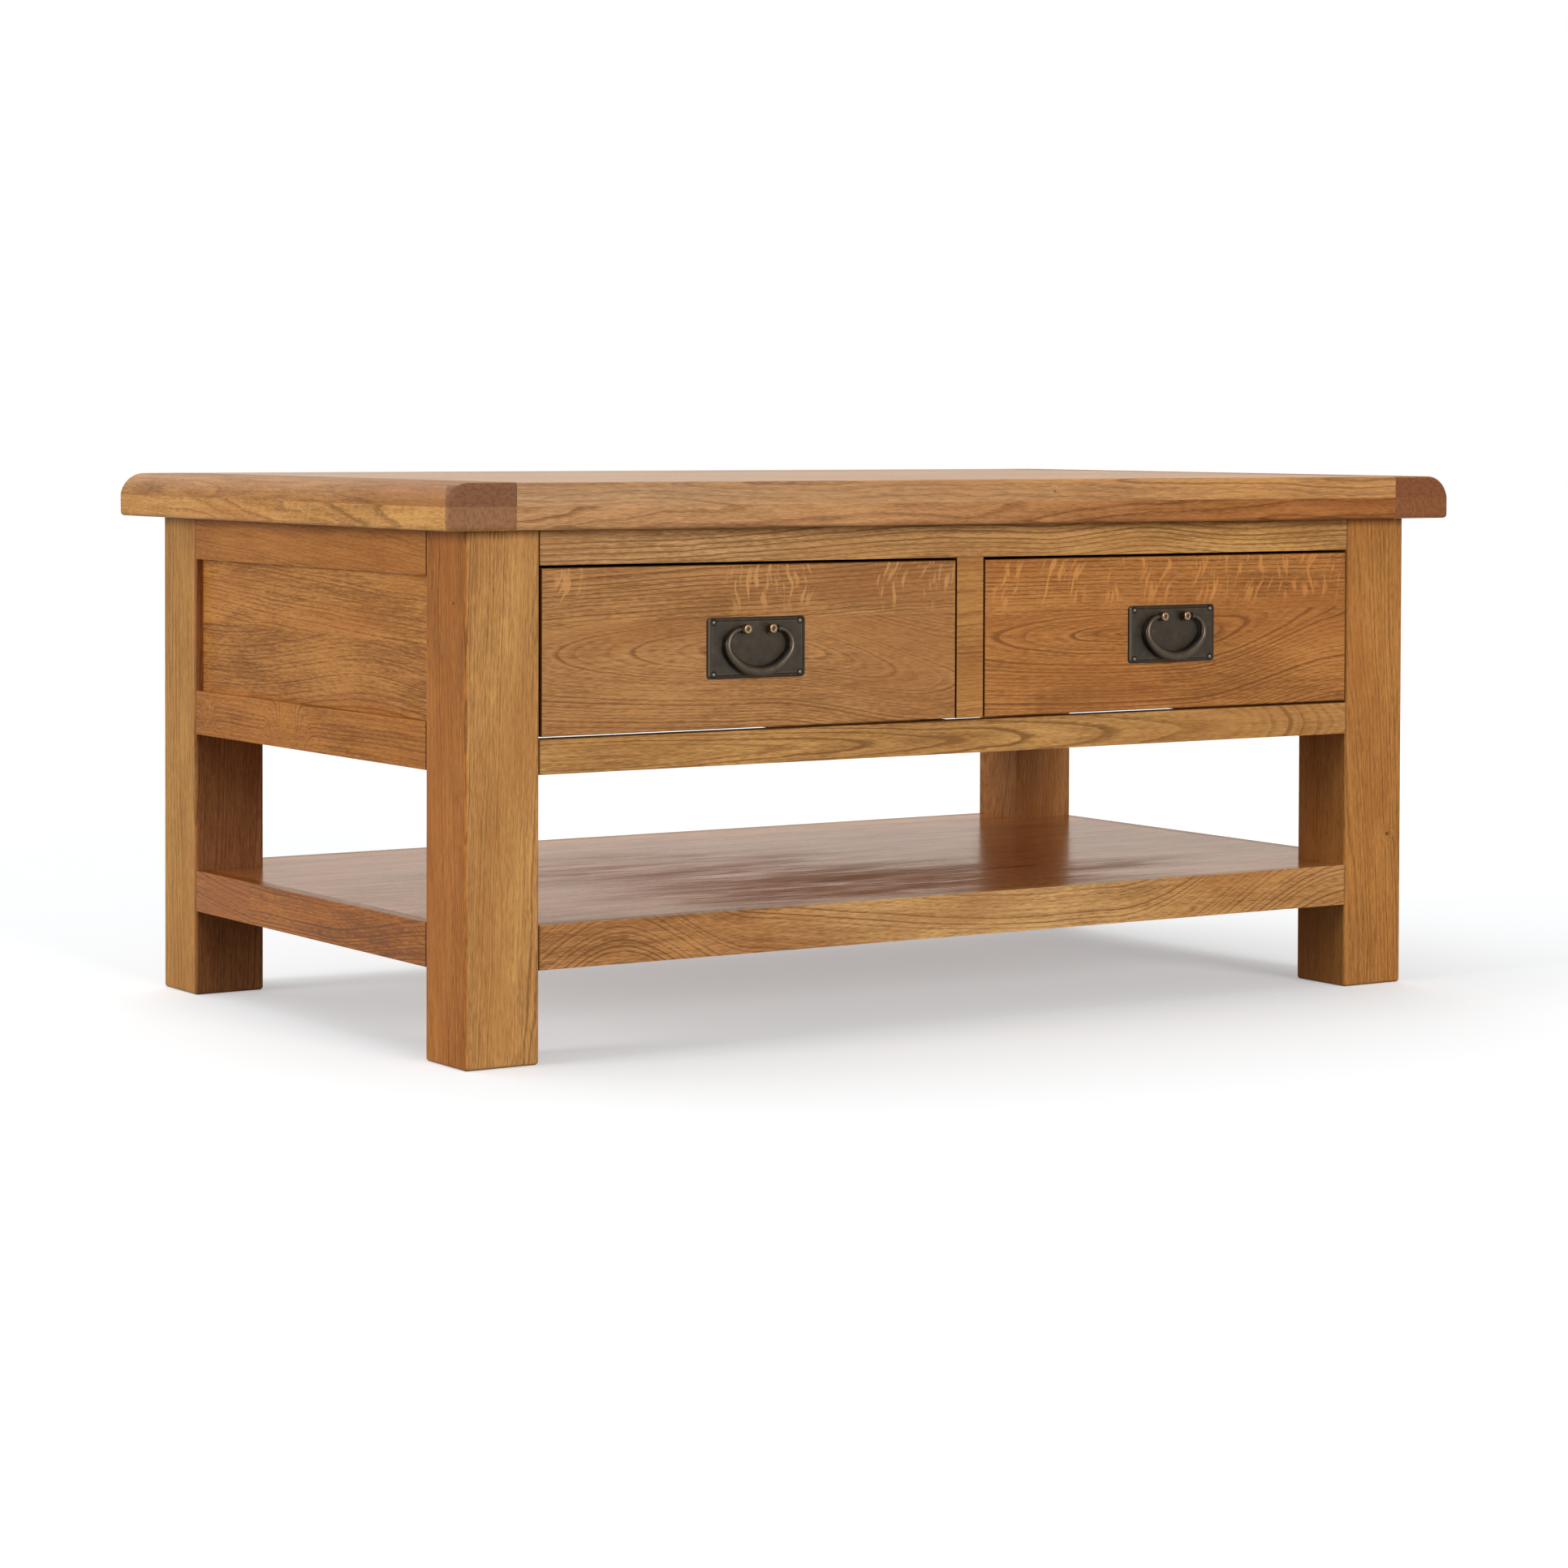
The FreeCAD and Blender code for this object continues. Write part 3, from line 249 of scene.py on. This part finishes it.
        zone = spot[fleck_axis].rise(fleck_from - fade_in, fleck_from + full) * fibre.rise(0.28, 0.5)
        colour = colour.blend(stroke * group * zone * amount, shaded(base, 1.7, -0.12))
    for aside, inward, size, heart in branches:
        core = 1.0 - aside.rise(size * 0.4, size * 1.2)
        shallow = 1.0 - inward.rise(8.0, 12.0)
        colour = colour.blend(core * shallow * heart, shaded(base, 0.2, 0.2))
    for axis, start_place, full_place, tint in tints:
        colour = colour.blend(spot[axis].rise(start_place, full_place), [*tint, 1.0], "MULTIPLY")

    # End grain drinks more stain and is mottled, and a painted shadow darkens the seam beside a neighbour.
    end_grain = abs(start.spots("Normal")[along]).rise(0.55, 0.85)
    if stain is not None:
        end_grain = start.maths("MAXIMUM", end_grain, stain(start, spot))
    mottle = start.noise(a * 0.1, b * 0.24, c * 0.4, 3.0).rise(0.4, 0.62)
    end_colour = from_screen(*ends) if ends else shaded(base, 0.4)
    colour = colour.blend(end_grain * 0.95, end_colour)
    colour = colour.blend(end_grain * mottle * 0.5, shaded(end_colour, 0.55))
    # Painted shadow along the seam, where the gap beside the neighbour would be shaded.
    if shoulder is not None:
        seam_starts, seam_full = shoulder - 1.6, shoulder - 0.3
        colour = colour.blend(abs(a).rise(seam_starts, seam_full) * 0.4, shaded(base, 0.2, 0.1))

    rubbed = 0.0
    for x, y, reach_x, reach_y, amount in dull:
        out = ((spot["x"] - x) / reach_x).far((spot["y"] - y) / reach_y)
        rubbed = rubbed + (1.0 - out.rise(0.1, 1.0)) * (streak + patch).rise(0.6, 1.3) * amount
    uneven_shine = (streak - 0.5) * 0.2 + (patch - 0.5) * 0.12 + end_grain * 0.12
    height = 1.0 - pores * 0.8 - early * 0.2
    bump = start.node("ShaderNodeBump", {}, {"Strength": 0.08, "Distance": 0.0005, "Height": height})
    shader = start.node("ShaderNodeBsdfPrincipled", {}, {
        "Base Color": colour,
        "Roughness": uneven_shine + rubbed + roughness,
        "Specular IOR Level": specular,
        "Normal": bump})
    start.node("ShaderNodeOutputMaterial", {}, {"Surface": shader})
    cover(node, material)


# Painted light: the tint keeps the left face as it is and makes the front face lighter and greyer, standing
# in for the different light on the two faces.
oak("leg_front_left", "z", "y", (159, 99, 42), (58, 46), (0.01, 0.02), ring=2.2, seed=1.3, contrast=0.9,
    knots=[((-472, -256, 357), 1.6, "x", 0.85)], tints=[("x", -471.4, -469.8, (1.27, 1.68, 2.7))])
# Painted shade: the tint darkens the front face, which lies in the shade of the case.
oak("leg_back_left", "z", "x", (168, 119, 59), (44, 60), (0.02, 0.0), ring=2.2, seed=4.1, contrast=0.9,
    tints=[("y", 213.2, 212.0, (0.8, 0.66, 0.9))])
oak("leg_front_right", "z", "y", (169, 113, 56), (-46, 52), (-0.02, 0.02), ring=2.2, seed=7.7, contrast=0.9,
    knots=[((455, -275.5, 133), 2.0, "y", 0.85)])
oak("leg_back_right", "z", "y", (149, 99, 53), (-90, 20), (0.12, 0.02), ring=3.2, seed=9.2)

# End and back frames: oak rails tenoned into the legs, grooved for thin oak panels whose grain runs
# level. The panels stand back from the rails and legs, so that shadows lie along their edges.

HALF_END = 210.5
HALF_FRONT = 407
for side, sign, seed in (("left", -1, 2.0), ("right", 1, 13.0)):
    inner = -sign * 30
    oak(f"{side}_top_rail", "y", "x", (168, 109, 49), (46, inner), (0.05, 0.06), ring=3.0, seed=seed + 0.4,
        contrast=0.85, staves=[("y", -142, 86, inner, 0.05, 0.06)],
        tints=[("y", -142.5, -141.5, (0.93, 0.9, 0.88))], shoulder=HALF_END)
    oak(f"{side}_bottom_rail", "y", "x", (161, 102, 43), (-130, sign * 17), ring=4.0, seed=seed + 1.1,
        contrast=1.2, wander=8, bold=0.75, shoulder=HALF_END,
        knots=[((sign * 472, 32, 226), 10, "x", 0.0), ((sign * 472, 186, 240), 4, "x", 0.0)])
    oak(f"{side}_panel", "y", "x", (163, 107, 51), (-119, -sign * 26), ring=4.0, seed=seed + 2.3,
        contrast=1.4, wander=9, bold=0.75, staves=[("z", 322, 150, -sign * 26, 0.057, 0.0)],
        crooks=[(-98, 260, 24, 0)], tints=[("z", 318, 326, (1.12, 1.15, 1.14))])
oak("back_top_rail", "x", "y", (166, 112, 62), (25, -30), (0.03, 0.04), seed=21.0, shoulder=HALF_FRONT)
oak("back_bottom_rail", "x", "y", (165, 110, 60), (-18, -26), (0.03, 0.04), seed=22.4, shoulder=HALF_FRONT)
oak("back_panel", "x", "y", (168, 114, 64), (10, -24), (0.03, 0.03), ring=3.0, seed=23.9, wander=30)

# Front frame: two oak rails tenoned between the legs, and the muntin that parts the drawers. The upper
# rail's grain runs nearly straight; the lower one is sawn close to the pith, so its figure is bolder.

oak("front_top_rail", "x", "y", (183, 138, 88), (34, 26), (0.008, 0.01), ring=3.2, seed=31.0, wander=8,
    contrast=1.35, bold=0.8, crooks=[(176, 110, 9, 0), (-40, 250, 6, 0)],
    tints=[("x", -350, 350, (0.98, 0.92, 0.72))], shoulder=HALF_FRONT)
oak("front_bottom_rail", "x", "y", (174, 126, 71), (-2, 6), (0.0, 0.04), ring=3.6, seed=33.6, wander=6,
    contrast=1.15, bold=0.9, crooks=[(420, 170, 0, 22)], shoulder=HALF_FRONT)
oak("front_muntin", "x", "y", (168, 115, 61), (20, 30), (0.02, 0.02), ring=2.6, seed=35.1, contrast=0.8)

# Inside the case: a bearer and a partition carry the inner runners, and the outer runners bridge the
# legs. They are plain pale wood that gets no stain.

PALE = (196, 158, 108)
oak("centre_bearer", "y", "x", PALE, (30, 20), seed=41.0, contrast=0.7)
oak("centre_partition", "y", "x", PALE, (60, 30), seed=42.0, contrast=0.7)
oak("left_runner", "y", "z", PALE, (30, 20), seed=43.0, contrast=0.7)
oak("right_runner", "y", "z", PALE, (30, 20), seed=44.0, contrast=0.7)
oak("centre_runners", "y", "z", PALE, (30, 20), seed=45.0, contrast=0.7)

# Shelf: three wide oak boards notched round the legs, in the rebates of four rails that sit flush with
# the legs. It is lacquered smoother than the frame, so it mirrors the legs, with duller patches of wear.

for number, tone, pith_across in ((1, (188, 117, 66), 30), (2, (181, 110, 61), -50),
                                  (3, (188, 116, 66), 20)):
    oak(f"shelf_board_{number}", "x", "z", tone, (pith_across, -40), (0.03, 0.02), seed=50.0 + number * 2.7,
        contrast=1.5, roughness=0.16, specular=0.5,
        dull=[(-20, -175, 340, 200, 0.3), (-112, 30, 270, 170, 0.2), (263, -165, 130, 60, 0.12)])
oak("shelf_rail_front", "x", "y", (168, 116, 68), (-160, 20), ring=5.0, seed=61.0, contrast=1.25, wander=8,
    bold=0.75, crooks=[(-335, 120, 45, 0), (-335, 430, 35, 0), (420, 270, 100, 0)],
    tints=[("x", -230, -60, (1.24, 1.48, 1.64)), ("x", 60, 280, (0.86, 0.75, 0.64))],
    shoulder=HALF_FRONT, roughness=0.2)
oak("shelf_rail_back", "x", "y", (168, 118, 70), (-12, -20), (0.06, 0.07), seed=62.3, shoulder=HALF_FRONT,
    roughness=0.2)
oak("shelf_rail_left", "y", "x", (154, 89, 18), (-120, 24), ring=3.4, seed=63.9, contrast=1.6, wander=14,
    bold=0.9, staves=[("y", 105, 50, 24, 0.05, 0.07)], crooks=[(-230, 200, 26, 0)], shoulder=HALF_END,
    roughness=0.2)
oak("shelf_rail_right", "y", "x", (160, 106, 58), (10, -24), (0.06, 0.08), seed=65.2, shoulder=HALF_END,
    roughness=0.2)

# Top: edge-jointed planks between two end boards with a rounded outer edge, doubled in thickness by
# strips glued underneath. The end boards run across, so they show their end grain at the corners.

for number, tone, pith_across in ((1, (174, 129, 84), 16), (2, (172, 126, 78), -50),
                                  (3, (176, 130, 82), 40), (4, (170, 124, 76), -20)):
    in_front = number == 1
    oak(f"top_plank_{number}", "x", "z", tone, (pith_across, -46), (0.01, 0.008), ring=3.0, contrast=0.9,
        seed=70.0 + number * 3.3, roughness=0.28, specular=0.5,
        knots=[((68, -300, 440), 1.2, "y", 0.85)] if in_front else (),
        tints=[("x", -350, 400, (1.09, 0.91, 0.53))] if in_front else ())

LEFT_END = -503.0
FRONT_EDGE = -300.0
END_GRAIN_SLANT = 1.54


def rounded_corner(start, spot):
    """1 on the part of the left end's rounded edge that shows end grain beside the front corner."""
    beyond = (spot["x"] - LEFT_END) * END_GRAIN_SLANT - spot["y"] + FRONT_EDGE
    return beyond.rise(-1.0, 1.0) * (1.0 - start.spots("Normal")["z"].rise(0.86, 0.95))


oak("top_end_board_left", "y", "z", (158, 108, 56), (24, -40), (0.02, 0.03), seed=81.0,
    stain=rounded_corner, ends=(132, 90, 62), roughness=0.42)
oak("top_end_board_right", "y", "z", (162, 110, 58), (-24, -40), (0.02, 0.03), seed=83.0,
    ends=(135, 81, 50), roughness=0.42)
oak("top_strip_front", "x", "y", (182, 133, 88), (16, 28), (0.012, 0.012), ring=2.8, seed=85.0,
    tints=[("x", -320, 320, (0.71, 0.51, 0.31))])
oak("top_strip_back", "x", "y", (178, 128, 78), (16, -30), (0.02, 0.03), ring=2.4, seed=86.0)
oak("top_strip_left", "y", "x", (186, 134, 74), (12, 30), (0.02, 0.03), ring=2.6, seed=87.0, curl=0.5,
    staves=[("y", 196, 52, 30, 0.02, 0.03)], ends=(151, 107, 74))
oak("top_strip_right", "y", "x", (182, 130, 74), (12, -30), (0.02, 0.03), ring=2.6, seed=88.0,
    ends=(139, 86, 53))
oak("top_blocks", "x", "z", PALE, (30, 20), seed=46.0, contrast=0.7)

# Screws of the top: zinc plated steel, turned and threaded, driven up through the glue blocks into
# the strips. The same plain metal finish serves the nuts inside the drawers.


def metal(node, colour, rough, spread, wear=None, marks=None):
    """A metal with a mottled finish: spread varies its roughness and wear shows brighter metal in patches.

    marks gives colours and their shares from the place on the piece, laid over the finish. On plates and
    pins they are painted shade and painted highlights.
    """
    material, start = new_material("metal_" + node)
    spot = start.spots()
    cloud_waves, grit_waves = 0.16, 1.7
    cloud = start.noise(*(spot[axis] * cloud_waves for axis in AXES), 4.0)
    grit = start.noise(*(spot[axis] * grit_waves for axis in AXES), 2.0)
    shown = start.node("ShaderNodeValToRGB", {"stops": [
        (0.25, shaded(colour, 0.8)), (0.5, shaded(colour, 1.0)), (0.8, shaded(colour, 1.25, 0.05))]},
        {0: cloud * 0.7 + grit * 0.3})
    if wear is not None:
        rubbed = (cloud * 0.5 + grit * 0.5).rise(0.56, 0.66)
        shown = shown.blend(rubbed * 0.35, wear)
    if marks is not None:
        for share, tint in marks(start, spot):
            shown = shown.blend(share, tint)
    height = grit * 0.5 + cloud
    bump = start.node("ShaderNodeBump", {}, {"Strength": 0.08, "Distance": 0.0004, "Height": height})
    shader = start.node("ShaderNodeBsdfPrincipled", {}, {
        "Base Color": shown, "Metallic": 0.85, "Roughness": (cloud - 0.5) * spread + rough, "Normal": bump})
    start.node("ShaderNodeOutputMaterial", {}, {"Surface": shader})
    cover(node, material)


ZINC = from_screen(196, 196, 190)
metal("top_screws", ZINC, rough=0.34, spread=0.2)

# Drawers: pale boxes with sides dovetailed into a stained oak front, a back let into dados and a thin
# bottom in grooves. The front is glued up from two staves, the upper one quartered so that it shows flecks.

for side, seed in (("left", 0.0), ("right", 9.0)):
    box = f"{side}_drawer"
    for hand in ("left", "right"):
        oak(f"{box}_side_{hand}", "y", "x", PALE, (50, 30), seed=90.0 + seed, contrast=0.7)
    oak(f"{box}_back", "x", "y", PALE, (50, 30), seed=91.4 + seed, contrast=0.7)
    oak(f"{box}_bottom", "x", "z", PALE, (80, 30), seed=92.9 + seed, contrast=0.6)
oak("left_drawer_front", "x", "y", (166, 116, 68), (-2, -11.25), (0.0, 0.125), ring=3.0, seed=101.0,
    wander=4, contrast=1.2, bold=0.85, staves=[("z", 340, 100, 30, 0.03, 0.02)],
    crooks=[(-12, 190, -30, 0)],
    flecks=("z", 344, 0.75, [(-381, 16), (-196, 50), (-80, 20), (-33, 24)]))
oak("right_drawer_front", "x", "y", (170, 112, 58), (0, -4), (0.0, 0.12), ring=3.2, seed=112.0,
    wander=4, contrast=1.2, bold=0.85, staves=[("z", 336, 100, 30, -0.02, 0.02)],
    crooks=[(400, 170, 25, 0)], tints=[("x", 60, 260, (0.93, 0.9, 0.87))],
    flecks=("z", 340, 0.8, [(38, 18), (95, 28), (150, 12), (197, 30), (247, 16), (292, 44), (368, 48)]))

# Handles: a dark bronze plate with a bevelled rim, nailed on with four domed pins, and a cast drop bail
# that swings in two turned posts. The posts' brass heads are rubbed bright and nutted behind the front.

BRONZE = from_screen(55, 49, 41)
WORN_AND_HIGHLIT_BRONZE = from_screen(88, 74, 58)
BLACKENED_AND_SHADE = from_screen(26, 23, 21)
PIN_HIGHLIGHT_BRONZE = from_screen(112, 102, 90)
BRASS = from_screen(104, 80, 52)
RUBBED_BRASS = from_screen(140, 116, 88)
PIN_X = 40.65
PIN_Z = 20.6
POST_X = 12.0


def plate_marks(low, high):
    """Painted shade on the rim, at the bevel's foot and round the pins; a painted highlight on its crest.
    """
    middle = middle_of(low, high)
    half_x, half_z = ((high[i] - low[i]) / 2 * MM for i in (0, 2))

    def marks(start, spot):
        x = abs(spot["x"] - middle["x"])
        z = abs(spot["z"] - middle["z"])
        inside = start.maths("MINIMUM", half_x - x, half_z - z)
        around_pin = (x - PIN_X).far(z - PIN_Z)
        rim_shade = 1.0 - inside.rise(0.3, 1.4)
        bevel_foot_shade = inside.rise(2.0, 2.5) * (1.0 - inside.rise(2.9, 3.3))
        bevel_crest_highlight = inside.rise(3.0, 3.4) * (1.0 - inside.rise(3.8, 4.3))
        # Painted shade on the rim, at the bevel's foot and round the pins; a painted highlight on the
        # bevel's crest.
        yield rim_shade * 0.7, BLACKENED_AND_SHADE
        yield bevel_foot_shade * 0.8, BLACKENED_AND_SHADE
        yield bevel_crest_highlight * 0.22, WORN_AND_HIGHLIT_BRONZE
        yield (1.0 - around_pin.rise(2.4, 3.4)) * 0.85, BLACKENED_AND_SHADE

    return marks


def pin_marks(start, spot):
    """A painted highlight: the domes are lighter in the middle, where they face forward."""
    facing = 0.0 - start.spots("Normal")["y"]
    yield facing.rise(0.62, 0.9) * 0.9, PIN_HIGHLIGHT_BRONZE


def post_marks(low, high):
    """Heads rubbed to a pale ring round a dark dimple."""
    middle = middle_of(low, high)

    def marks(start, spot):
        out = (abs(spot["x"] - middle["x"]) - POST_X).far(spot["z"] - middle["z"])
        rubbed_ring = out.rise(1.4, 1.9) * (1.0 - out.rise(3.1, 3.8))
        yield rubbed_ring, RUBBED_BRASS
        yield 1.0 - out.rise(1.1, 1.7), BLACKENED_AND_SHADE

    return marks


for side in ("left", "right"):
    plate = f"{side}_drawer_handle_plate"
    posts = f"{side}_drawer_handle_posts"
    metal(plate, BRONZE, rough=0.46, spread=0.25, wear=WORN_AND_HIGHLIT_BRONZE, marks=plate_marks(*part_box(plate)))
    metal(f"{side}_drawer_handle_pins", BRONZE, rough=0.36, spread=0.25, marks=pin_marks)
    # Painted light: the bail takes the plate's bronze 1.8 times lighter, so that it looks more brightly lit
    # than the plate.
    metal(f"{side}_bail", shaded(BRONZE, 1.8), rough=0.36, spread=0.2, wear=WORN_AND_HIGHLIT_BRONZE)
    metal(posts, BRASS, rough=0.32, spread=0.2, marks=post_marks(*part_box(posts)))
    metal(f"{side}_drawer_handle_nuts", ZINC, rough=0.34, spread=0.2)

# Studio: a seamless white floor that keeps the table's soft shadow, a white surround, a front light and
# one from the left, both low enough to reach under the top, and a wide one from behind and above.

scene = bpy.context.scene
scene.view_settings.view_transform = "Standard"
WHITE = (1, 1, 1, 1)


def by_ray(start, camera, glossy, bounced):
    """A strength for what the camera sees, for what a polished face mirrors, and for soft light."""
    is_camera = start.node("ShaderNodeLightPath", {}, {}, out="Is Camera Ray")
    is_glossy = start.node("ShaderNodeLightPath", {}, {}, out="Is Glossy Ray")
    return is_camera * (camera - bounced) + is_glossy * (glossy - bounced) + bounced


REACH = 20
floor_mesh = bpy.data.meshes.new("floor")
floor_mesh.from_pydata([(-REACH, -REACH, 0), (REACH, -REACH, 0), (REACH, REACH, 0), (-REACH, REACH, 0)],
                       [], [(0, 1, 2, 3)])
floor = bpy.data.objects.new("floor", floor_mesh)
scene.collection.objects.link(floor)
floor_paint, start = new_material("floor_paint")
shadowed = start.node("ShaderNodeBsdfDiffuse", {}, {"Color": (0.83, 0.855, 0.87, 1)})
glow = start.node("ShaderNodeEmission", {}, {"Color": WHITE, "Strength": 0.35})
bright = start.node("ShaderNodeAddShader", {}, {0: shadowed, 1: glow})
dim = start.node("ShaderNodeBsdfDiffuse", {}, {"Color": (0.25, 0.25, 0.25, 1)})
is_seen = by_ray(start, camera=1.0, glossy=1.0, bounced=0.0)
paint = start.node("ShaderNodeMixShader", {}, {0: is_seen, 1: dim, 2: bright})
start.node("ShaderNodeOutputMaterial", {}, {"Surface": paint})
floor_mesh.materials.append(floor_paint)

WARM_WHITE = (1, 0.86, 0.74, 1)
world = bpy.data.worlds.new("studio")
scene.world = world
world.use_nodes = True
world.node_tree.nodes.clear()
start = Shade(world.node_tree)
mirrored = start.node("ShaderNodeLightPath", {}, {}, out="Is Glossy Ray")
white = start.node("ShaderNodeMix", {"data_type": "RGBA"}, {0: mirrored, 6: WHITE, 7: WARM_WHITE}, out=2)
brightness = by_ray(start, camera=1.0, glossy=0.8, bounced=0.33)
surround = start.node("ShaderNodeBackground", {}, {"Color": white, "Strength": brightness})
start.node("ShaderNodeOutputWorld", {}, {"Surface": surround})


def lamp(name, towards, strength, spread):
    light = bpy.data.lights.new(name, "SUN")
    light.energy = strength
    light.angle = math.radians(spread)
    holder = bpy.data.objects.new(name, light)
    holder.rotation_euler = Vector(towards).to_track_quat("-Z", "Y").to_euler()
    scene.collection.objects.link(holder)


lamp("front_light", towards=(-0.07, 0.97, -0.2), strength=2.15, spread=22)
lamp("side_light", towards=(0.97, -0.065, -0.2), strength=1.95, spread=22)
lamp("back_light", towards=(0.05, -0.6, -0.8), strength=1.2, spread=80)

# Camera: a long lens standing a little above the top, at the photograph's angle. It is shifted rather
# than tilted, so that the upright edges stay nearly upright.

PHOTO_PIXELS = 1932
FOCAL_PIXELS = 4958.418
AIMED_ROW = 657.498
SENSOR_WIDTH = 36
CAMERA_PLACE = (-1.935454, -2.968189, 0.49577)
yaw, pitch, roll = (math.radians(angle) for angle in (-33.05, 1.58, 0.166))
level = Vector((-math.sin(yaw), math.cos(yaw), 0))
ahead = level * math.cos(pitch) - Vector((0, 0, 1)) * math.sin(pitch)
right = ahead.cross(Vector((0, 0, 1))).normalized()
above = right.cross(ahead)
tilted_right = right * math.cos(roll) + above * math.sin(roll)
tilted_up = above * math.cos(roll) - right * math.sin(roll)
lens = bpy.data.cameras.new("camera")
lens.sensor_width = SENSOR_WIDTH
lens.lens = FOCAL_PIXELS / PHOTO_PIXELS * SENSOR_WIDTH
lens.shift_y = (AIMED_ROW - PHOTO_PIXELS / 2) / PHOTO_PIXELS
camera = bpy.data.objects.new("camera", lens)
turned = Matrix((tilted_right, tilted_up, -ahead)).transposed().to_4x4()
camera.matrix_world = Matrix.Translation(CAMERA_PLACE) @ turned
scene.collection.objects.link(camera)
scene.camera = camera
